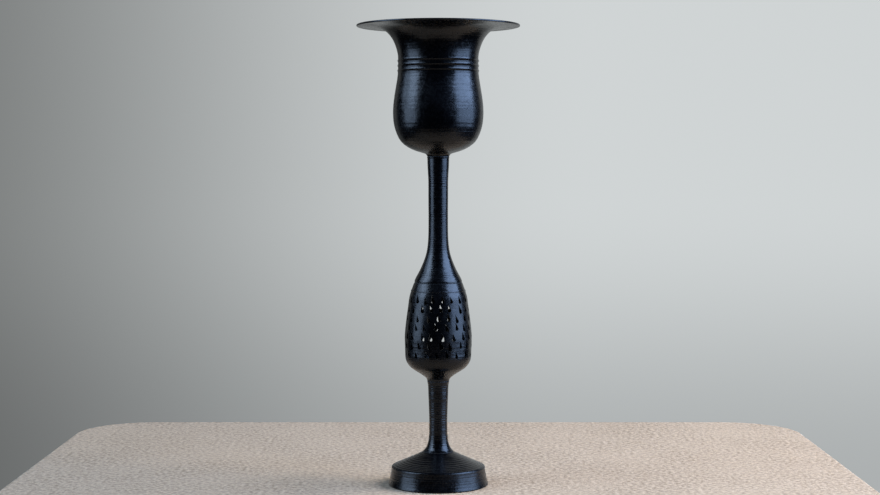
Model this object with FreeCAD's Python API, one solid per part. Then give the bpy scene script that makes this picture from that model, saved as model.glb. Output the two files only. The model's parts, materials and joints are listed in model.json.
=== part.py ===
import FreeCAD, Part
import os
import random

# Tall stemmed pot in burnished black clay. It is thrown in five sections that are luted together with
# slip: a hollow foot, a lower stem, a pierced lantern, an upper stem with a bell shoulder, and a tulip
# cup with a wide flat rim. The axis is +Z, and the origin is at the centre of the standing ring.
# Sizes are in millimetres and angles in degrees. -Y is the front.

# ---- Heights of the five sections, without their tenons ----
foot_height = 28.9
lower_stem_height = 60.9
lantern_height = 85.8
upper_stem_height = 108.6
cup_height = 113.4

# ---- How far a cutting shape runs past the face that it opens ----
overrun = 1.0

# ---- Luted joints: a tenon or spigot on one section, a socket in the next, slip between ----
slip_thickness = 0.6
slip_recess = 0.3
tenon_radius = 6.0
tenon_length = 4.5
vent_radius = 1.6
spigot_length = 4.0
spigot_wall = 3.2

# ---- Foot: a flared skirt under a conical shoulder, hollow underneath ----
foot_radius = 43.9
foot_skirt_flare = 3.1
foot_skirt_hollow = 0.55
foot_edge_height = 16.5
foot_edge_rounding = 1.9
foot_shoulder_hollow = 0.3
foot_top_radius = 13.2
foot_wall = 5.5
foot_web = 5.0
standing_edge_rounding = 0.8

# ---- Lower stem: a trumpet base, a slim waist, and a slightly wider top ----
lower_stem_waist_radius = 7.95
lower_stem_waist_height = 25.5
lower_stem_top_radius = 9.6

# ---- Lantern: an egg-shaped shell, closed below and open above ----
lantern_radius = 29.2
lantern_belly_height = 38.0
lantern_mouth_radius = 21.05
lantern_wall = 2.4
lantern_floor = 8.5
lantern_ridge_drop = 6.9
lantern_ridge_proud = 0.4
lantern_ridge_half_width = 0.9

# ---- Teardrop slots, cut through the lantern's wall by hand, in rows that step sideways ----
slot_rows = 7
slots_per_row = 19
slot_length = 7.2
slot_width = 3.1
slot_band_low = 25.4
slot_band_drop = 13.2
slot_first_row_turn = -3.3
slot_row_step = 5.3
slot_lean = 13.0
slot_turn_wander = 2.6
slot_height_wander = 0.8
slot_lean_wander = 5.0
slot_size_wander = 0.15
slot_seed = 2203

# ---- Upper stem: a bell shoulder over the lantern's mouth, then a slim stem with a small lip ----
shoulder_step = 0.4
shoulder_edge_height = 1.2
bell_hollow_height = 38.0
upper_stem_waist_radius = 8.5
upper_stem_waist_height = 48.0
upper_stem_top_radius = 9.5
upper_stem_lip_radius = 9.7
upper_stem_lip_height = 1.4

# ---- Cup: a tulip bowl, three turned ridges round the neck, and a wide flat rim ----
cup_radius = 39.2
cup_belly_height = 38.5
cup_neck_radius = 34.75
cup_neck_height = 84.5
cup_wall = 4.2
cup_floor = 8.8
rim_radius = 70.7
rim_thickness = 1.7
neck_ridges = 3
neck_ridge_pitch = 4.3
neck_ridge_drop = 2.2
neck_ridge_proud = 0.7
neck_ridge_half_width = 2.1

# ---- Turned curves from one station to the next, as (share of the height, share of the radius) ----
STEM_TRUMPET = [(0.055, 0.26), (0.12, 0.485), (0.235, 0.72), (0.355, 0.86), (0.47, 0.93), (0.70, 0.99)]
STEM_TAPER = [(0.25, 0.11), (0.50, 0.27), (0.75, 0.48), (0.93, 0.71)]
LANTERN_BOWL = [
    (0.053, 0.03), (0.105, 0.135), (0.16, 0.28), (0.24, 0.53), (0.32, 0.74), (0.40, 0.87), (0.48, 0.945),
    (0.66, 0.983),
]
LANTERN_TAPER = [(0.20, 0.08), (0.39, 0.21), (0.58, 0.37), (0.76, 0.53), (0.93, 0.85)]
BELL = [
    (0.06, 0.0975), (0.14, 0.267), (0.265, 0.507), (0.39, 0.704), (0.51, 0.844), (0.675, 0.944),
    (0.84, 0.987),
]
STEM_SWELL = [(0.29, 0.06), (0.58, 0.14), (0.73, 0.29), (0.80, 0.52), (0.88, 0.77), (0.95, 0.94)]
CUP_BOWL = [
    (0.04, 0.025), (0.07, 0.105), (0.107, 0.275), (0.16, 0.455), (0.24, 0.635), (0.34, 0.775), (0.47, 0.872),
    (0.68, 0.963),
]
CUP_TAPER = [(0.19, 0.135), (0.385, 0.42), (0.575, 0.76), (0.72, 0.945)]
RIM_FLARE = [(0.31, 0.041), (0.565, 0.12), (0.76, 0.224), (0.88, 0.332), (0.955, 0.46), (0.987, 0.62)]

# ---- Heights of the sections' lower faces ----
lower_stem_z = foot_height + slip_thickness
lantern_z = lower_stem_z + lower_stem_height + slip_thickness
upper_stem_z = lantern_z + lantern_height + slip_thickness
cup_z = upper_stem_z + upper_stem_height + slip_thickness

# ---- Fits that follow from the sizes above ----
socket_radius = tenon_radius + slip_thickness
mouth_bore_radius = lantern_mouth_radius - lantern_wall
spigot_radius = mouth_bore_radius - slip_thickness
spigot_bore_radius = spigot_radius - spigot_wall
shoulder_radius = lantern_mouth_radius - shoulder_step

ORIGIN = FreeCAD.Vector(0, 0, 0)
AXIS = FreeCAD.Vector(0, 0, 1)
UP = AXIS
OUT = FreeCAD.Vector(1, 0, 0)


# ---- Drawing helpers: an outline is drawn as (radius, height) in the XZ plane ----
def at(radius, height):
    return FreeCAD.Vector(radius, 0, height)


def lines(*points):
    """Straight edges through the points in turn."""
    return [Part.LineSegment(a, b).toShape() for a, b in zip(points, points[1:])]


def arc(start, middle, end):
    return Part.Arc(start, middle, end).toShape()


def curve(stations, shapes, directions):
    """One smooth curve through the stations, with each stretch shaped by its list of shares.
    directions gives the way the curve runs at a station: UP, OUT, or None where it is free."""
    points = [stations[0]]
    ways = [directions[0]]
    for number, shape in enumerate(shapes):
        start, end = stations[number:number + 2]
        for height_share, radius_share in shape:
            radius = start.x + radius_share * (end.x - start.x)
            points.append(at(radius, start.z + height_share * (end.z - start.z)))
            ways.append(None)
        points.append(end)
        ways.append(directions[number + 1])
    travelled = [0.0]
    for before, after in zip(points, points[1:]):
        travelled.append(travelled[-1] + before.distanceToPoint(after))
    spline = Part.BSplineCurve()
    spline.interpolate(
        Points=points,
        Parameters=travelled,
        Tangents=[way or UP for way in ways],
        TangentFlags=[way is not None for way in ways],
        Scale=False,
    )
    return spline.toShape()


def inside_of(edge, wall_at_start, wall_at_end, count=14):
    """A smooth curve that runs inside another by the wall's thickness, which eases from its size at
    the start to its size at the end."""
    points = []
    for i in range(count):
        share = i / (count - 1)
        parameter = edge.getParameterByLength(share * edge.Length)
        along = edge.tangentAt(parameter)
        inward = FreeCAD.Vector(-along.z, 0, along.x)
        wall = wall_at_end + (wall_at_start - wall_at_end) * (1 - share) ** 2
        points.append(edge.valueAt(parameter) + inward * wall)
    spline = Part.BSplineCurve()
    spline.interpolate(points)
    return spline.toShape()


def place_at(edge, height):
    """The parameter where a rising curve passes one height, found by halving."""
    low, high = edge.ParameterRange
    for _ in range(50):
        middle = (low + high) / 2
        if edge.valueAt(middle).z < height:
            low = middle
        else:
            high = middle
    return low


def radius_at(edge, height):
    return edge.valueAt(place_at(edge, height)).x


def above(edge, height):
    """The part of a rising curve above one height."""
    return edge.Curve.toShape(place_at(edge, height), edge.LastParameter)


def below(edge, height):
    """The part of a rising curve below one height."""
    return edge.Curve.toShape(edge.FirstParameter, place_at(edge, height))


def low_end(edge):
    return edge.valueAt(edge.FirstParameter)


def high_end(edge):
    return edge.valueAt(edge.LastParameter)


def turned(edges):
    """The solid that a closed outline sweeps about the axis, with its faces outward."""
    solid = Part.Face(Part.Wire(edges)).revolve(ORIGIN, AXIS, 360)
    if solid.Volume < 0:
        solid.reverse()
    return solid


def cylinder(radius, low, high):
    return Part.makeCylinder(radius, high - low, at(0, low), AXIS)


def lifted(shape, z):
    shape.translate(AXIS * z)
    return shape


def round_edge(solid, size, radius, height):
    """The turned edge at one radius and height, rounded."""
    def is_it(edge):
        box = edge.BoundBox
        return box.ZLength < 0.001 and abs(box.ZMin - height) < 0.001 and abs(box.XMax - radius) < 0.001
    return solid.makeFillet(size, [edge for edge in solid.Edges if is_it(edge)])


def ridge_ring(radius, height, proud, half_width):
    """A turned ridge with a sharp crest and hollow flanks, rooted in the wall behind it."""
    low = at(radius, height - half_width)
    high = at(radius, height + half_width)
    crest = at(radius + proud, height)
    hollow = radius + 0.2 * proud
    root = radius - half_width
    flanks = [
        arc(low, at(hollow, height - half_width / 2), crest),
        arc(crest, at(hollow, height + half_width / 2), high),
    ]
    return turned(flanks + lines(high, at(root, high.z), at(root, low.z), low))


# ---- The five thrown sections ----
def foot():
    edge_radius = foot_radius - foot_skirt_flare
    skirt_low = at(foot_radius, 0)
    skirt_high = at(edge_radius, foot_edge_height)
    skirt_middle = at((skirt_low.x + skirt_high.x) / 2 - foot_skirt_hollow, foot_edge_height / 2)
    top = at(foot_top_radius, foot_height)
    shoulder_middle = at(
        (skirt_high.x + top.x) / 2,
        (skirt_high.z + top.z) / 2 - foot_shoulder_hollow,
    )
    outline = [arc(skirt_low, skirt_middle, skirt_high), arc(skirt_high, shoulder_middle, top)]
    outline += lines(top, at(0, foot_height), ORIGIN, skirt_low)
    solid = round_edge(turned(outline), foot_edge_rounding, edge_radius, foot_edge_height)
    solid = round_edge(solid, standing_edge_rounding, foot_radius, 0)

    # the hollow keeps one wall's thickness under the skirt and the conical shoulder
    slope = (foot_height - foot_edge_height) / (edge_radius - foot_top_radius)
    drop = foot_wall * (1 + slope ** 2) ** 0.5
    hollow_top = foot_height - tenon_length - foot_web
    hollow_edge = edge_radius - foot_wall
    hollow_edge_height = foot_edge_height + foot_wall * slope - drop
    hollow_top_radius = edge_radius - (hollow_top + drop - foot_edge_height) / slope
    hollow = turned(lines(
        at(0, -overrun),
        at(foot_radius - foot_wall, -overrun),
        at(foot_radius - foot_wall, 0),
        at(hollow_edge, hollow_edge_height),
        at(hollow_top_radius, hollow_top),
        at(0, hollow_top),
        at(0, -overrun),
    ))
    socket = cylinder(socket_radius, foot_height - tenon_length, foot_height + overrun)
    vent = cylinder(vent_radius, 0, foot_height)
    return solid.cut([hollow, socket, vent])


def lower_stem():
    base = at(foot_top_radius, 0)
    waist = at(lower_stem_waist_radius, lower_stem_waist_height)
    top = at(lower_stem_top_radius, lower_stem_height)
    side = curve([base, waist, top], [STEM_TRUMPET, STEM_TAPER], [None, UP, None])
    solid = turned([side] + lines(top, at(0, top.z), ORIGIN, base))
    tenon = cylinder(tenon_radius, -tenon_length, lower_stem_height + tenon_length)
    bore = cylinder(vent_radius, -tenon_length - overrun, lower_stem_height + tenon_length + overrun)
    return lifted(solid.fuse(tenon).cut(bore).removeSplitter(), lower_stem_z)


def lantern():
    base = at(lower_stem_top_radius, 0)
    belly = at(lantern_radius, lantern_belly_height)
    mouth = at(lantern_mouth_radius, lantern_height)
    side = curve([base, belly, mouth], [LANTERN_BOWL, LANTERN_TAPER], [None, UP, None])
    ledge = lantern_height - spigot_length - lantern_wall / 2
    inner = below(above(inside_of(side, lantern_wall, lantern_wall), lantern_floor), ledge)
    mouth_edges = lines(mouth, at(mouth_bore_radius, mouth.z), at(mouth_bore_radius, ledge), high_end(inner))
    floor_edges = lines(
        low_end(inner),
        at(0, lantern_floor),
        at(0, tenon_length),
        at(socket_radius, tenon_length),
        at(socket_radius, 0),
        base,
    )
    shell = turned([side] + mouth_edges + [inner] + floor_edges)
    ridge_height = lantern_height - lantern_ridge_drop
    ridge_radius = radius_at(side, ridge_height)
    ridge = ridge_ring(ridge_radius, ridge_height, lantern_ridge_proud, lantern_ridge_half_width)
    pierced = shell.fuse(ridge)
    for row in range(slot_rows):
        pierced = pierced.cut(slot_cutters(row))
    return lifted(pierced, lantern_z)


def upper_stem():
    base = at(shoulder_radius, 0)
    shoulder = at(shoulder_radius, shoulder_edge_height)
    waist = at(upper_stem_waist_radius, upper_stem_waist_height)
    top = at(upper_stem_top_radius, upper_stem_height - upper_stem_lip_height)
    lip = at(upper_stem_lip_radius, upper_stem_height)
    side = curve([shoulder, waist, top], [BELL, STEM_SWELL], [None, UP, None])
    outline = lines(base, shoulder) + [side] + lines(top, lip, at(0, lip.z), ORIGIN, base)
    tenon = cylinder(tenon_radius, upper_stem_height, upper_stem_height + tenon_length)
    spigot = cylinder(spigot_radius, -spigot_length, 0)
    solid = turned(outline).fuse([tenon, spigot]).removeSplitter()

    # the bell is hollow: its cavity narrows from the spigot's bore to the stem's vent
    bell_low = at(spigot_bore_radius, shoulder_edge_height)
    bell_high = at(vent_radius, bell_hollow_height)
    bell = curve([bell_low, bell_high], [BELL], [None, UP])
    hollow = turned([bell] + lines(
        bell_high,
        at(0, bell_high.z),
        at(0, -spigot_length - overrun),
        at(spigot_bore_radius, -spigot_length - overrun),
        bell_low,
    ))
    bore = cylinder(vent_radius, 0, upper_stem_height + tenon_length + overrun)
    return lifted(solid.cut([hollow, bore]), upper_stem_z)


def cup():
    lip_radius = rim_radius - rim_thickness / 2
    base = at(upper_stem_lip_radius, 0)
    belly = at(cup_radius, cup_belly_height)
    neck = at(cup_neck_radius, cup_neck_height)
    rim_under = at(lip_radius, cup_height - rim_thickness)
    rim_edge = at(rim_radius, cup_height - rim_thickness / 2)
    rim_top = at(lip_radius, cup_height)
    bowl = curve([base, belly, neck], [CUP_BOWL, CUP_TAPER], [None, UP, UP])
    flare = curve([neck, rim_under], [RIM_FLARE], [UP, OUT])
    inner_flare = inside_of(flare, cup_wall, rim_thickness)
    inner_bowl = above(inside_of(bowl, cup_wall, cup_wall), cup_floor)
    floor_edges = lines(
        low_end(inner_bowl),
        at(0, cup_floor),
        at(0, tenon_length),
        at(socket_radius, tenon_length),
        at(socket_radius, 0),
        base,
    )
    rim = arc(rim_under, rim_edge, rim_top)
    solid = turned([bowl, flare, rim, inner_flare, inner_bowl] + floor_edges)
    for number in range(neck_ridges):
        height = cup_neck_height - neck_ridge_drop - number * neck_ridge_pitch
        ring = ridge_ring(radius_at(bowl, height), height, neck_ridge_proud, neck_ridge_half_width)
        solid = solid.fuse(ring)
    return lifted(solid, cup_z)


# ---- Slots in the lantern ----
def slot_cutter(width, length, lean, height, turn):
    """A teardrop prism, point up, that runs outward through the front wall, then leaned and turned."""
    bottom_radius = width / 2
    to_tip = length - bottom_radius
    tangent_height = bottom_radius ** 2 / to_tip
    tangent_out = (bottom_radius ** 2 - tangent_height ** 2) ** 0.5
    centre_height = bottom_radius - length / 2
    tip = at(0, length / 2)
    right = at(tangent_out, centre_height + tangent_height)
    left = at(-tangent_out, centre_height + tangent_height)
    bottom = at(0, -length / 2)
    outline = lines(left, tip, right) + [arc(right, bottom, left)]
    start = FreeCAD.Vector(0, -mouth_bore_radius / 2, 0)
    reach = FreeCAD.Vector(0, -lantern_radius, 0)
    prism = Part.Face(Part.Wire(outline)).extrude(reach)
    prism.translate(start)
    prism.rotate(ORIGIN, FreeCAD.Vector(0, 1, 0), -lean)
    prism.translate(AXIS * height)
    prism.rotate(ORIGIN, AXIS, turn)
    return prism


def slot_cutters(row):
    """The slots of one row, each a little off its place, as a hand leaves them."""
    hand = random.Random(slot_seed + row)
    spacing = 360 / slots_per_row
    pitch = (lantern_height - slot_band_low - slot_band_drop) / (slot_rows - 1)
    cutters = []
    for place in range(slots_per_row):
        turn = slot_first_row_turn + row * slot_row_step + place * spacing
        turn += hand.uniform(-1, 1) * slot_turn_wander
        height = slot_band_low + row * pitch + hand.uniform(-1, 1) * slot_height_wander
        lean = slot_lean + hand.uniform(-1, 1) * slot_lean_wander
        size = 1 + hand.uniform(-1, 1) * slot_size_wander
        cutters.append(slot_cutter(slot_width * size, slot_length * size, lean, height, turn))
    return cutters


# ---- Slip that fills the joints ----
def tenon_slip(outer_radius, face_z, direction):
    """The slip round a tenon that rises (1) or hangs (-1) from the face at face_z."""
    def spot(radius, depth):
        return at(radius, face_z + direction * depth)
    full = slip_thickness + tenon_length
    return turned(lines(
        spot(tenon_radius, 0),
        spot(outer_radius - slip_recess, 0),
        spot(outer_radius - slip_recess, slip_thickness),
        spot(socket_radius, slip_thickness),
        spot(socket_radius, full),
        spot(vent_radius, full),
        spot(vent_radius, tenon_length),
        spot(tenon_radius, tenon_length),
        spot(tenon_radius, 0),
    ))


def foot_slip():
    return tenon_slip(foot_top_radius, lower_stem_z, -1)


def lantern_slip():
    return tenon_slip(lower_stem_top_radius, lantern_z - slip_thickness, 1)


def cup_slip():
    return tenon_slip(upper_stem_lip_radius, cup_z - slip_thickness, 1)


def shoulder_slip():
    """The slip between the shoulder and the lantern's mouth, and round the spigot."""
    outer = shoulder_radius - slip_recess
    return turned(lines(
        at(spigot_radius, upper_stem_z),
        at(outer, upper_stem_z),
        at(outer, upper_stem_z - slip_thickness),
        at(mouth_bore_radius, upper_stem_z - slip_thickness),
        at(mouth_bore_radius, upper_stem_z - spigot_length),
        at(spigot_radius, upper_stem_z - spigot_length),
        at(spigot_radius, upper_stem_z),
    ))


NODES = {
    "foot": foot,
    "foot_slip_joint": foot_slip,
    "lower_stem": lower_stem,
    "lantern_slip_joint": lantern_slip,
    "lantern": lantern,
    "shoulder_slip_joint": shoulder_slip,
    "upper_stem": upper_stem,
    "cup_slip_joint": cup_slip,
    "cup": cup,
}

os.makedirs("parts", exist_ok=True)
for name, make in NODES.items():
    shape = make()
    shape.exportStep("parts/" + name + ".step")
    print(name, shape.isValid(), len(shape.Solids), "solid,", round(shape.Volume / 1000, 2), "cm3")
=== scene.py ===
import bpy
import json
import math
import numpy as np
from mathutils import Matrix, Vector


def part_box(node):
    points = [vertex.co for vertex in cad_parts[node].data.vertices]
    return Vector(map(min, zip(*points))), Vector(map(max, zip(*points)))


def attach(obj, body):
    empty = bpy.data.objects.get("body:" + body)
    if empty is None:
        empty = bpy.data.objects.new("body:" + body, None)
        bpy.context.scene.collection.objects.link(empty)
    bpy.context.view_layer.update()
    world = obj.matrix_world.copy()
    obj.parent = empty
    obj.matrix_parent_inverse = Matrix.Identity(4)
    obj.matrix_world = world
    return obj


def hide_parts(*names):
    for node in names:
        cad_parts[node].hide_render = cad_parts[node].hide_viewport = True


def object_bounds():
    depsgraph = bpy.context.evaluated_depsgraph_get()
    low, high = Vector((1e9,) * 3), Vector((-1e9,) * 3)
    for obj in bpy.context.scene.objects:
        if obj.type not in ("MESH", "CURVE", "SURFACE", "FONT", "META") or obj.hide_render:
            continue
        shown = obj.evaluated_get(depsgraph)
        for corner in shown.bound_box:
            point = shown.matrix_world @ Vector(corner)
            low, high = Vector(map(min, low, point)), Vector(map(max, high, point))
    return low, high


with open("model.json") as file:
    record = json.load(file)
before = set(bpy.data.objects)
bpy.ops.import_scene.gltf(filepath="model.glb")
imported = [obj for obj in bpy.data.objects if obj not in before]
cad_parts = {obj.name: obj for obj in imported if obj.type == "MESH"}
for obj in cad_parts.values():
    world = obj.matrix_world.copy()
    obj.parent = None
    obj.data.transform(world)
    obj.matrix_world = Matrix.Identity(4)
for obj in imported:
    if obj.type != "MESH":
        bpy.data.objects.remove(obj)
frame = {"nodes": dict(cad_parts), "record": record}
cad_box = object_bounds()

# ---- The pot's size, from the frame ----
FLOOR_Z = cad_box[0].z
POT_HEIGHT = cad_box[1].z - cad_box[0].z

# ---- Camera: eye level is two thirds of the way up the pot, looking slightly down ----
CAMERA_PLACE = Vector((0.00195, -1.4322, 0.281))
CAMERA_TILT = math.radians(2.942)
CAMERA_TURN = math.radians(0.017)
SENSOR_WIDTH = 36.0
CAMERA_LENS = 67.46

# ---- Studio: a tall soft window each side with a dimmer sill below it, a curtain beside the left one, a
# warm lamp that the gloss doesn't mirror, and a pale wall behind in a room that is otherwise dark ----
LEFT_WINDOW = dict(azimuth=-71.0, elevation=34.0, distance=1.7, width=0.75, height=1.3, power=27.0,
                   color=(0.51, 0.70, 1.0))
LEFT_CURTAIN = dict(azimuth=-95.0, elevation=34.0, distance=1.7, width=0.7, height=1.3, power=10.0,
                    color=(0.51, 0.70, 1.0))
LEFT_SILL = dict(azimuth=-76.0, elevation=0.0, distance=1.7, width=1.1, height=0.62, power=9.0,
                 color=(0.51, 0.70, 1.0))
RIGHT_WINDOW = dict(azimuth=75.0, elevation=34.0, distance=1.7, width=1.6, height=1.3, power=77.0,
                    color=(0.405, 0.60, 1.0))
RIGHT_SILL = dict(azimuth=75.0, elevation=0.0, distance=1.7, width=1.6, height=0.62, power=19.0,
                  color=(0.42, 0.62, 1.0))
TABLE_LAMP = dict(azimuth=96.0, elevation=42.0, distance=1.15, width=0.8, height=0.8, power=25.0,
                  color=(1.0, 0.87, 0.74), mirrored=False)
# The wall that the camera sees carries painted shade: WALL_SHADE darkens its left side and the foot share
# darkens it towards the table.
WALL_COLOR = (0.63, 0.66, 0.665, 1.0)
ROOM_WALL_SHARE = 0.75
WALL_SHADE = (0.165, 0.172, 0.17, 1.0)
WALL_FAR_COLOR = (0.50, 0.52, 0.52, 1.0)
PAINTED_WALL_FOOT_SHADE = 0.66
ROOM_DARK = (0.004, 0.004, 0.0045, 1.0)
TABLE_PALE = (0.37, 0.293, 0.207, 1.0)
TABLE_DEEP = (0.17, 0.128, 0.086, 1.0)

# ---- Relief of the thrown sections: rings cut inward by depth, one every pitch along the outline, on a
# mesh with a point every step; phase sets where the rings start ----
THROWN = {
    "foot": dict(depth=0.00022, pitch=0.0026, step=0.00042, phase=0.4),
    "lower_stem": dict(depth=0.00012, pitch=0.0019, step=0.00035, phase=1.9),
    "upper_stem": dict(depth=0.00014, pitch=0.0019, step=0.00035, phase=3.1),
    "cup": dict(depth=0.00006, pitch=0.0041, step=0.00058, phase=5.2),
}
RELIEF_FADE = 0.0025
VENT_CLEARANCE = 0.004
STANDING_RING_EDGE = 0.0012
WELD_DIGITS = 6
SEAM_REACH = 2e-6
AXIS_REACH = 1e-6
RELIEF_CORNER_COSINE = 0.90
TURN_STEPS = 160
SHARP_ANGLE = math.radians(32)

# ---- Texture of the clay: noise scales per metre, and bump depths in metres ----
CLOUD_SCALE = 38.0
SMEAR_SCALE = 95.0
MOTTLE_SCALE = 420.0
GRAIN_SCALE = 1500.0
LINE_SCALE = 620.0
BROAD_LINE_SCALE = 140.0
SPECK_SCALE = 190.0
SPECK_LARGEST = 0.085
CRUMB_SCALE = 900.0
CLOUD_DEPTH = 0.0006
MOTTLE_DEPTH = 0.00004
GRAIN_DEPTH = 0.000012
LINE_DEPTH = 0.00007
BROAD_LINE_DEPTH = 0.00022
CRUMB_DEPTH = 0.00012
OUTWARD_SHARE = 0.8
LINE_STRAY = 0.0016

# ---- Colours of the clay and of the slip ----
CLAY_DEEP = (0.0005, 0.0006, 0.0009, 1.0)
CLAY_CLOUDED = (0.0014, 0.0015, 0.0020, 1.0)
CLAY_LINE = (0.0030, 0.0032, 0.0040, 1.0)
CLAY_SPECK = (0.075, 0.070, 0.064, 1.0)
CLAY_IOR = 1.5
CLAY_SPECULAR = 0.31
SLIP_DEEP = (0.006, 0.006, 0.0065, 1.0)
SLIP_PALE = (0.014, 0.014, 0.0145, 1.0)

# ---- Table: a pale rounded slab, big enough to catch the pot's shadow ----
TABLE_WIDTH = 0.76
TABLE_DEPTH = 0.70
TABLE_CORNER = 0.075
TABLE_THICKNESS = 0.03
TABLE_EDGE = 0.006
LOOP_SCALE = 260.0
LOOP_DEPTH = 0.0012
PATCH_SCALE = 12.0
CORNER_STEPS = 12
EDGE_STEPS = 6


# ---------------------------------------------------------------- node helpers
def new_material(name):
    material = bpy.data.materials.new(name)
    material.use_nodes = True
    material.node_tree.nodes.clear()
    return material


class Nodes:
    """Short calls that add nodes to one tree and join them."""

    def __init__(self, tree):
        self.tree = tree

    def add(self, kind, **settings):
        node = self.tree.nodes.new(kind)
        for name, value in settings.items():
            setattr(node, name, value)
        return node

    def feed(self, socket, value):
        if isinstance(value, bpy.types.NodeSocket):
            self.tree.links.new(value, socket)
        else:
            socket.default_value = value

    def math(self, operation, first, second=0.0, clamp=False):
        node = self.add("ShaderNodeMath", operation=operation, use_clamp=clamp)
        self.feed(node.inputs[0], first)
        self.feed(node.inputs[1], second)
        return node.outputs[0]

    def spread(self, value, low, high, to_low=0.0, to_high=1.0):
        """Maps low..high onto to_low..to_high, smoothly, and holds it at the ends."""
        node = self.add("ShaderNodeMapRange", interpolation_type="SMOOTHSTEP")
        self.feed(node.inputs["Value"], value)
        self.feed(node.inputs["From Min"], low)
        self.feed(node.inputs["From Max"], high)
        self.feed(node.inputs["To Min"], to_low)
        self.feed(node.inputs["To Max"], to_high)
        return node.outputs["Result"]

    def mix(self, factor, first, second):
        node = self.add("ShaderNodeMix", data_type="RGBA")
        self.feed(node.inputs["Factor"], factor)
        self.feed(node.inputs["A"], first)
        self.feed(node.inputs["B"], second)
        return node.outputs["Result"]

    def noise(self, vector, scale, detail=2.0, roughness=0.5):
        node = self.add("ShaderNodeTexNoise")
        self.feed(node.inputs["Vector"], vector)
        self.feed(node.inputs["Scale"], scale)
        self.feed(node.inputs["Detail"], detail)
        self.feed(node.inputs["Roughness"], roughness)
        return node.outputs["Fac"]

    def line_noise(self, place, scale, detail=3.0, roughness=0.6):
        node = self.add("ShaderNodeTexNoise", noise_dimensions="1D")
        self.feed(node.inputs["W"], place)
        self.feed(node.inputs["Scale"], scale)
        self.feed(node.inputs["Detail"], detail)
        self.feed(node.inputs["Roughness"], roughness)
        return node.outputs["Fac"]

    def bump(self, height, distance, strength=1.0, normal=None):
        node = self.add("ShaderNodeBump")
        self.feed(node.inputs["Height"], height)
        self.feed(node.inputs["Distance"], distance)
        self.feed(node.inputs["Strength"], strength)
        if normal is not None:
            self.feed(node.inputs["Normal"], normal)
        return node.outputs["Normal"]


def turning_place(nodes, position, wander):
    """A length that grows up and outward, the same all the way round the axis, so that lines of its
    noise lie like the marks of a tool held against a turning pot. wander makes the lines stray."""
    split = nodes.add("ShaderNodeSeparateXYZ")
    nodes.feed(split.inputs[0], position)
    x, y, z = split.outputs
    squares = nodes.math("ADD", nodes.math("MULTIPLY", x, x), nodes.math("MULTIPLY", y, y))
    radius = nodes.math("SQRT", squares)
    place = nodes.math("ADD", z, nodes.math("MULTIPLY", radius, OUTWARD_SHARE))
    return nodes.math("ADD", place, nodes.math("MULTIPLY", wander, LINE_STRAY))


# ---------------------------------------------------------------- materials
def burnished_clay():
    """Black clay rubbed with a stone: near-black, a satin graphite gloss, faint turning lines, cloudy
    patches where the stone pressed more or less, and a few pale specks of grit and dust."""
    material = new_material("burnished_clay")
    nodes = Nodes(material.node_tree)
    out = nodes.add("ShaderNodeOutputMaterial")
    shader = nodes.add("ShaderNodeBsdfPrincipled")
    nodes.tree.links.new(shader.outputs[0], out.inputs[0])
    position = nodes.add("ShaderNodeTexCoord").outputs["Object"]

    cloud = nodes.noise(position, CLOUD_SCALE, 4.0, 0.6)
    smear = nodes.noise(position, SMEAR_SCALE, 3.0, 0.55)
    mottle = nodes.noise(position, MOTTLE_SCALE, 4.0, 0.65)
    grain = nodes.noise(position, GRAIN_SCALE, 2.0, 0.6)
    place = turning_place(nodes, position, smear)
    lines = nodes.line_noise(place, LINE_SCALE, 4.0, 0.65)
    broad_lines = nodes.line_noise(place, BROAD_LINE_SCALE, 2.0, 0.5)

    tone = nodes.mix(nodes.spread(cloud, 0.35, 0.68), CLAY_DEEP, CLAY_CLOUDED)
    tone = nodes.mix(nodes.math("MULTIPLY", nodes.spread(lines, 0.52, 0.74), 0.4), tone, CLAY_LINE)
    speck_cells = nodes.add("ShaderNodeTexVoronoi", feature="F1")
    nodes.feed(speck_cells.inputs["Vector"], position)
    nodes.feed(speck_cells.inputs["Scale"], SPECK_SCALE)
    speck_size = nodes.math("MULTIPLY", nodes.spread(smear, 0.55, 0.72), SPECK_LARGEST)
    specks = nodes.math("LESS_THAN", speck_cells.outputs["Distance"], speck_size)
    tone = nodes.mix(nodes.math("MULTIPLY", specks, 0.6), tone, CLAY_SPECK)
    nodes.feed(shader.inputs["Base Color"], tone)

    rough = nodes.spread(cloud, 0.3, 0.7, 0.18, 0.25)
    rough = nodes.math("ADD", rough, nodes.math("MULTIPLY", lines, 0.05))
    rough = nodes.math("ADD", rough, nodes.spread(mottle, 0.36, 0.66, -0.035, 0.065))
    rough = nodes.math("ADD", rough, nodes.math("MULTIPLY", specks, 0.2))
    nodes.feed(shader.inputs["Roughness"], rough)
    shader.inputs["IOR"].default_value = CLAY_IOR
    shader.inputs["Specular IOR Level"].default_value = CLAY_SPECULAR

    normal = nodes.bump(broad_lines, BROAD_LINE_DEPTH)
    normal = nodes.bump(lines, LINE_DEPTH, normal=normal)
    normal = nodes.bump(cloud, CLOUD_DEPTH, normal=normal)
    normal = nodes.bump(mottle, MOTTLE_DEPTH, normal=normal)
    normal = nodes.bump(grain, GRAIN_DEPTH, normal=normal)
    nodes.feed(shader.inputs["Normal"], normal)
    return material


def slip_clay():
    """The slip in the joints: the same black clay, wiped flush and left matte."""
    material = new_material("slip_clay")
    nodes = Nodes(material.node_tree)
    out = nodes.add("ShaderNodeOutputMaterial")
    shader = nodes.add("ShaderNodeBsdfPrincipled")
    nodes.tree.links.new(shader.outputs[0], out.inputs[0])
    position = nodes.add("ShaderNodeTexCoord").outputs["Object"]
    crumbs = nodes.noise(position, CRUMB_SCALE, 4.0, 0.7)
    tone = nodes.mix(nodes.spread(crumbs, 0.4, 0.65), SLIP_DEEP, SLIP_PALE)
    nodes.feed(shader.inputs["Base Color"], tone)
    nodes.feed(shader.inputs["Roughness"], nodes.spread(crumbs, 0.3, 0.7, 0.55, 0.8))
    nodes.feed(shader.inputs["Normal"], nodes.bump(crumbs, CRUMB_DEPTH))
    return material


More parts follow.
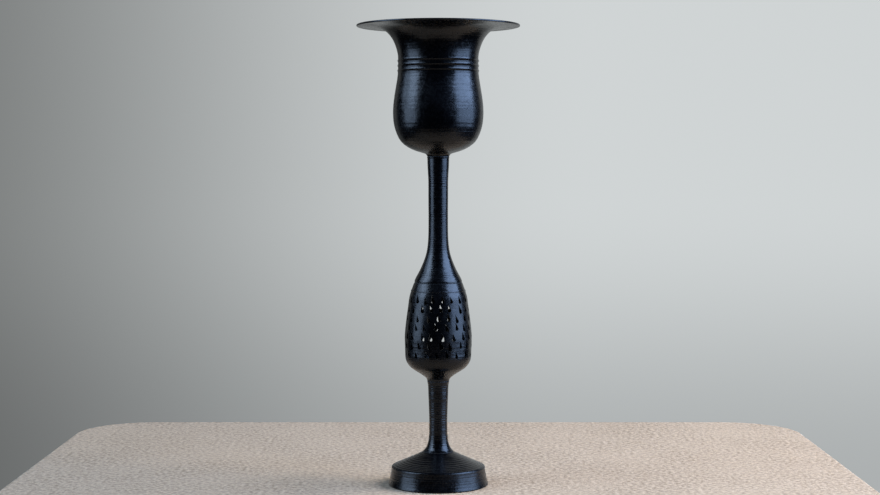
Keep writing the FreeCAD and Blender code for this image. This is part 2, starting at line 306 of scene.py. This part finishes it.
def table_cloth():
    """The plain pale floor: a soft, faintly looped surface."""
    material = new_material("pale_table")
    nodes = Nodes(material.node_tree)
    out = nodes.add("ShaderNodeOutputMaterial")
    shader = nodes.add("ShaderNodeBsdfPrincipled")
    nodes.tree.links.new(shader.outputs[0], out.inputs[0])
    position = nodes.add("ShaderNodeTexCoord").outputs["Object"]
    loops = nodes.noise(position, LOOP_SCALE, 3.0, 0.6)
    patches = nodes.noise(position, PATCH_SCALE, 2.0, 0.5)
    tone = nodes.mix(nodes.spread(loops, 0.3, 0.7), TABLE_DEEP, TABLE_PALE)
    tone = nodes.mix(nodes.math("MULTIPLY", nodes.spread(patches, 0.3, 0.7), 0.25), tone, TABLE_PALE)
    nodes.feed(shader.inputs["Base Color"], tone)
    shader.inputs["Roughness"].default_value = 0.9
    shader.inputs["Specular IOR Level"].default_value = 0.2
    nodes.feed(shader.inputs["Normal"], nodes.bump(loops, LOOP_DEPTH))
    return material


MATERIALS = {"burnished_clay": burnished_clay(), "slip_clay": slip_clay()}


# ---------------------------------------------------------------- thrown sections with their relief
def seam_outline(piece):
    """The outline, as (radius, height), that a turned CAD node was swept from, and whether it closes on
    itself: the node's mesh has an edge along every stretch of it on the half plane y = 0, x > 0. An
    outline that reaches the axis stops where its flat faces begin."""
    mesh = piece.data
    places = {}
    for vertex in mesh.vertices:
        if abs(vertex.co.y) < SEAM_REACH and vertex.co.x > AXIS_REACH:
            places[vertex.index] = (round(vertex.co.x, WELD_DIGITS), round(vertex.co.z, WELD_DIGITS))
    joined = {}
    for edge in mesh.edges:
        a, b = (places.get(index) for index in edge.vertices)
        if a is not None and b is not None and a != b:
            joined.setdefault(a, set()).add(b)
            joined.setdefault(b, set()).add(a)
    ends = sorted(place for place, others in joined.items() if len(others) == 1)
    start = ends[0] if ends else min(joined)
    outline = [start]
    previous, here = None, start
    while True:
        onward = [place for place in sorted(joined[here]) if place != previous]
        if not onward:
            return outline, False
        previous, here = here, onward[0]
        if here == start:
            return outline, True
        outline.append(here)


def close_set(outline, closed, step, low, high, least_radius):
    """The outline with its long stretches divided where the relief goes; corners stay."""
    points = [] if closed else [outline[-1]]
    stretches = zip(outline, outline[1:] + outline[:1]) if closed else zip(outline, outline[1:])
    for (r1, z1), (r2, z2) in stretches:
        in_zone = max(z1, z2) > low and min(z1, z2) < high and max(r1, r2) > least_radius
        count = max(1, math.ceil(math.hypot(r2 - r1, z2 - z1) / step)) if in_zone else 1
        for i in range(count):
            share = i / count
            points.append((r1 + (r2 - r1) * share, z1 + (z2 - z1) * share))
    return points if closed else points[1:] + points[:1]


def smooth_share(value):
    value = np.clip(value, 0.0, 1.0)
    return value * value * (3 - 2 * value)


def thrown_piece(name, node, low, high, depth, pitch, step, phase, least_radius=VENT_CLEARANCE):
    """The turned section again, with the shallow rings that throwing and burnishing leave. The rings
    only ever cut inward, and they fade out before the joints and the standing ring."""
    outline, closed = seam_outline(frame["nodes"][node])
    points = np.array(close_set(outline, closed, step, low, high, least_radius))
    ahead = np.roll(points, -1, axis=0)
    behind = np.roll(points, 1, axis=0)
    if np.sum(points[:, 0] * ahead[:, 1] - ahead[:, 0] * points[:, 1]) < 0:
        points, ahead, behind = points[::-1], behind[::-1], ahead[::-1]
    run = ahead - behind
    run /= np.maximum(np.linalg.norm(run, axis=1), 1e-9)[:, None]
    outward = np.stack([run[:, 1], -run[:, 0]], axis=1)
    lengths = np.linalg.norm(ahead - points, axis=1)
    along = np.concatenate([[0.0], np.cumsum(lengths)[:-1]])

    fade = smooth_share((points[:, 1] - low) / RELIEF_FADE)
    fade *= smooth_share((high - points[:, 1]) / RELIEF_FADE)
    fade *= smooth_share((points[:, 0] - least_radius) / RELIEF_FADE)
    corner = np.einsum("ij,ij->i", points - behind, ahead - points)
    corner /= np.maximum(np.linalg.norm(points - behind, axis=1) * lengths, 1e-12)
    fade *= smooth_share((corner - RELIEF_CORNER_COSINE) / (1 - RELIEF_CORNER_COSINE))

    turn = np.arange(TURN_STEPS) / TURN_STEPS * 2 * math.pi
    s = along[:, None] / pitch * 2 * math.pi + phase
    stray = 0.5 * np.sin(turn + phase)[None, :] + 0.35 * np.sin(3 * turn + 2.1 * phase + s * 0.13)
    rings = 0.5 - 0.5 * np.sin(s + 1.4 * np.sin(s * 0.137 + phase) + stray)
    strength = 0.55 + 0.45 * np.sin(s * 0.071 + 2.0 * phase + 0.6 * np.sin(turn)[None, :])
    fine = 0.5 - 0.5 * np.sin(s * 1.73 + 2.2 * np.sin(s * 0.31) + stray * 1.7)
    cut = depth * (0.78 * rings * strength + 0.22 * fine) * fade[:, None]
    radius = points[:, 0:1] - outward[:, 0:1] * cut
    height = points[:, 1:2] - outward[:, 1:2] * cut
    places = np.stack([radius * np.cos(turn), radius * np.sin(turn), height + 0 * turn], axis=2)

    rows = len(points)
    row = np.arange(rows if closed else rows - 1)[:, None]
    column = np.arange(TURN_STEPS)[None, :]
    row_next = (row + 1) % rows
    column_next = (column + 1) % TURN_STEPS
    corners = [row * TURN_STEPS + column, row * TURN_STEPS + column_next,
               row_next * TURN_STEPS + column_next, row_next * TURN_STEPS + column]
    faces = np.stack([c + 0 * row + 0 * column for c in corners], axis=2).reshape(-1, 4).tolist()
    if not closed:
        faces.append(list(range(TURN_STEPS))[::-1])
        faces.append(list(range((rows - 1) * TURN_STEPS, rows * TURN_STEPS)))
    mesh = bpy.data.meshes.new(name)
    mesh.from_pydata(places.reshape(-1, 3).tolist(), [], faces)
    mesh.polygons.foreach_set("use_smooth", [True] * len(mesh.polygons))
    mesh.set_sharp_from_angle(angle=SHARP_ANGLE)
    mesh.materials.append(MATERIALS["burnished_clay"])
    piece = bpy.data.objects.new(name, mesh)
    bpy.context.scene.collection.objects.link(piece)
    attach(piece, "root")
    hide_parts(node)


def make_thrown_pieces():
    foot_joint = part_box("foot_slip_joint")
    lantern_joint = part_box("lantern_slip_joint")
    shoulder_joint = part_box("shoulder_slip_joint")
    cup_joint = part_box("cup_slip_joint")
    thrown_piece("thrown_foot", "foot", FLOOR_Z + STANDING_RING_EDGE, foot_joint[1].z + RELIEF_FADE,
                 least_radius=foot_joint[1].x, **THROWN["foot"])
    thrown_piece("thrown_lower_stem", "lower_stem", foot_joint[1].z, lantern_joint[0].z,
                 **THROWN["lower_stem"])
    thrown_piece("thrown_upper_stem", "upper_stem", shoulder_joint[1].z, cup_joint[0].z,
                 **THROWN["upper_stem"])
    thrown_piece("thrown_cup", "cup", cup_joint[1].z, cad_box[1].z + RELIEF_FADE, **THROWN["cup"])


def dress_cad_nodes():
    """Every node of the frame gets the material of its own slot."""
    slot_of = {part["node"]: part["material_slot"] for part in frame["record"]["subparts"]}
    for name, piece in frame["nodes"].items():
        piece.data.materials.clear()
        piece.data.materials.append(MATERIALS[slot_of[name]])


# ---------------------------------------------------------------- stage, lights and camera
def rounded_slab(width, depth, corner, thickness, edge, top_z):
    """A slab with rounded corners in plan and a rounded top edge, its top at top_z."""
    def ring(inset, z, steps=CORNER_STEPS):
        points = []
        for number in range(4):
            start = math.pi / 2 * number
            cx = (width / 2 - corner) * (1 if number in (0, 3) else -1)
            cy = (depth / 2 - corner) * (1 if number in (0, 1) else -1)
            for step in range(steps + 1):
                angle = start + math.pi / 2 * step / steps
                reach = corner - inset
                points.append((cx + reach * math.cos(angle), cy + reach * math.sin(angle), z))
        return points
    rings = [ring(0, top_z - thickness)]
    for step in range(EDGE_STEPS + 1):
        angle = math.pi / 2 * step / EDGE_STEPS
        rings.append(ring(edge * (1 - math.cos(angle)), top_z - edge * (1 - math.sin(angle))))
    count = len(rings[0])
    points = [point for each in rings for point in each]
    faces = [tuple(range(count))[::-1], tuple(range(len(points) - count, len(points)))]
    for row in range(len(rings) - 1):
        for i in range(count):
            a = row * count + i
            b = row * count + (i + 1) % count
            faces.append((a, b, b + count, a + count))
    mesh = bpy.data.meshes.new("table")
    mesh.from_pydata(points, [], faces)
    mesh.polygons.foreach_set("use_smooth", [True] * len(mesh.polygons))
    return mesh


def make_stage():
    mesh = rounded_slab(TABLE_WIDTH, TABLE_DEPTH, TABLE_CORNER, TABLE_THICKNESS, TABLE_EDGE, FLOOR_Z)
    table = bpy.data.objects.new("table", mesh)
    bpy.context.scene.collection.objects.link(table)
    mesh.materials.append(table_cloth())
    for index in (0, 1):
        mesh.polygons[index].use_smooth = False


def make_window(name, azimuth, elevation, distance, width, height, power, color, mirrored=True):
    """A soft rectangular light that faces the pot. Azimuth 0 is on the camera's side, 90 to its right.
    The gloss shows it only if mirrored."""
    light = bpy.data.lights.new(name, "AREA")
    light.shape = "RECTANGLE"
    light.size = width
    light.size_y = height
    light.energy = power
    light.color = color
    lamp = bpy.data.objects.new(name, light)
    bpy.context.scene.collection.objects.link(lamp)
    a = math.radians(azimuth)
    e = math.radians(elevation)
    target = Vector((0, 0, FLOOR_Z + POT_HEIGHT / 2))
    away = Vector((math.sin(a) * math.cos(e), -math.cos(a) * math.cos(e), math.sin(e)))
    lamp.location = target + away * distance
    lamp.rotation_euler = away.to_track_quat("Z", "Y").to_euler()
    lamp.visible_camera = False
    lamp.visible_glossy = mirrored


def make_room():
    """Light from the room: a pale wall behind the pot, and dark elsewhere. The camera itself sees only
    the plain wall, all the way round, with painted shade: darker on its left and towards its foot."""
    world = bpy.data.worlds.new("room")
    bpy.context.scene.world = world
    world.use_nodes = True
    nodes = Nodes(world.node_tree)
    nodes.tree.nodes.clear()
    out = nodes.add("ShaderNodeOutputWorld")
    direction = nodes.add("ShaderNodeTexCoord").outputs["Generated"]
    split = nodes.add("ShaderNodeSeparateXYZ")
    nodes.feed(split.inputs[0], direction)
    x, y, z = split.outputs

    # Painted shade: the wall is darker on its left, where less light falls.
    wall = nodes.mix(nodes.spread(x, -0.36, 0.10), WALL_SHADE, WALL_COLOR)
    wall = nodes.mix(nodes.spread(x, -0.80, -0.42), WALL_FAR_COLOR, wall)
    # Painted shade: the wall that the camera sees grows darker towards its foot.
    painted_foot_shade = nodes.spread(z, -0.19, -0.02, PAINTED_WALL_FOOT_SHADE, 1.0)
    room = nodes.mix(nodes.math("MULTIPLY", nodes.spread(y, 0.60, 0.76), ROOM_WALL_SHARE), ROOM_DARK, wall)
    seen = nodes.add("ShaderNodeBackground")
    nodes.feed(seen.inputs["Color"], wall)
    nodes.feed(seen.inputs["Strength"], painted_foot_shade)
    lit = nodes.add("ShaderNodeBackground")
    nodes.feed(lit.inputs["Color"], room)
    mix = nodes.add("ShaderNodeMixShader")
    nodes.feed(mix.inputs[0], nodes.add("ShaderNodeLightPath").outputs["Is Camera Ray"])
    nodes.tree.links.new(lit.outputs[0], mix.inputs[1])
    nodes.tree.links.new(seen.outputs[0], mix.inputs[2])
    nodes.tree.links.new(mix.outputs[0], out.inputs[0])


def make_camera():
    data = bpy.data.cameras.new("camera")
    data.sensor_width = SENSOR_WIDTH
    data.lens = CAMERA_LENS
    data.clip_start = 0.01
    camera = bpy.data.objects.new("camera", data)
    bpy.context.scene.collection.objects.link(camera)
    camera.location = CAMERA_PLACE
    camera.rotation_euler = (math.pi / 2 - CAMERA_TILT, 0.0, CAMERA_TURN)
    bpy.context.scene.camera = camera


make_camera()
dress_cad_nodes()
make_thrown_pieces()
make_stage()
make_window("left_window", **LEFT_WINDOW)
make_window("right_window", **RIGHT_WINDOW)
make_window("left_curtain", **LEFT_CURTAIN)
make_window("left_sill", **LEFT_SILL)
make_window("right_sill", **RIGHT_SILL)
make_window("table_lamp", **TABLE_LAMP)
make_room()
bpy.context.scene.view_settings.view_transform = "Standard"
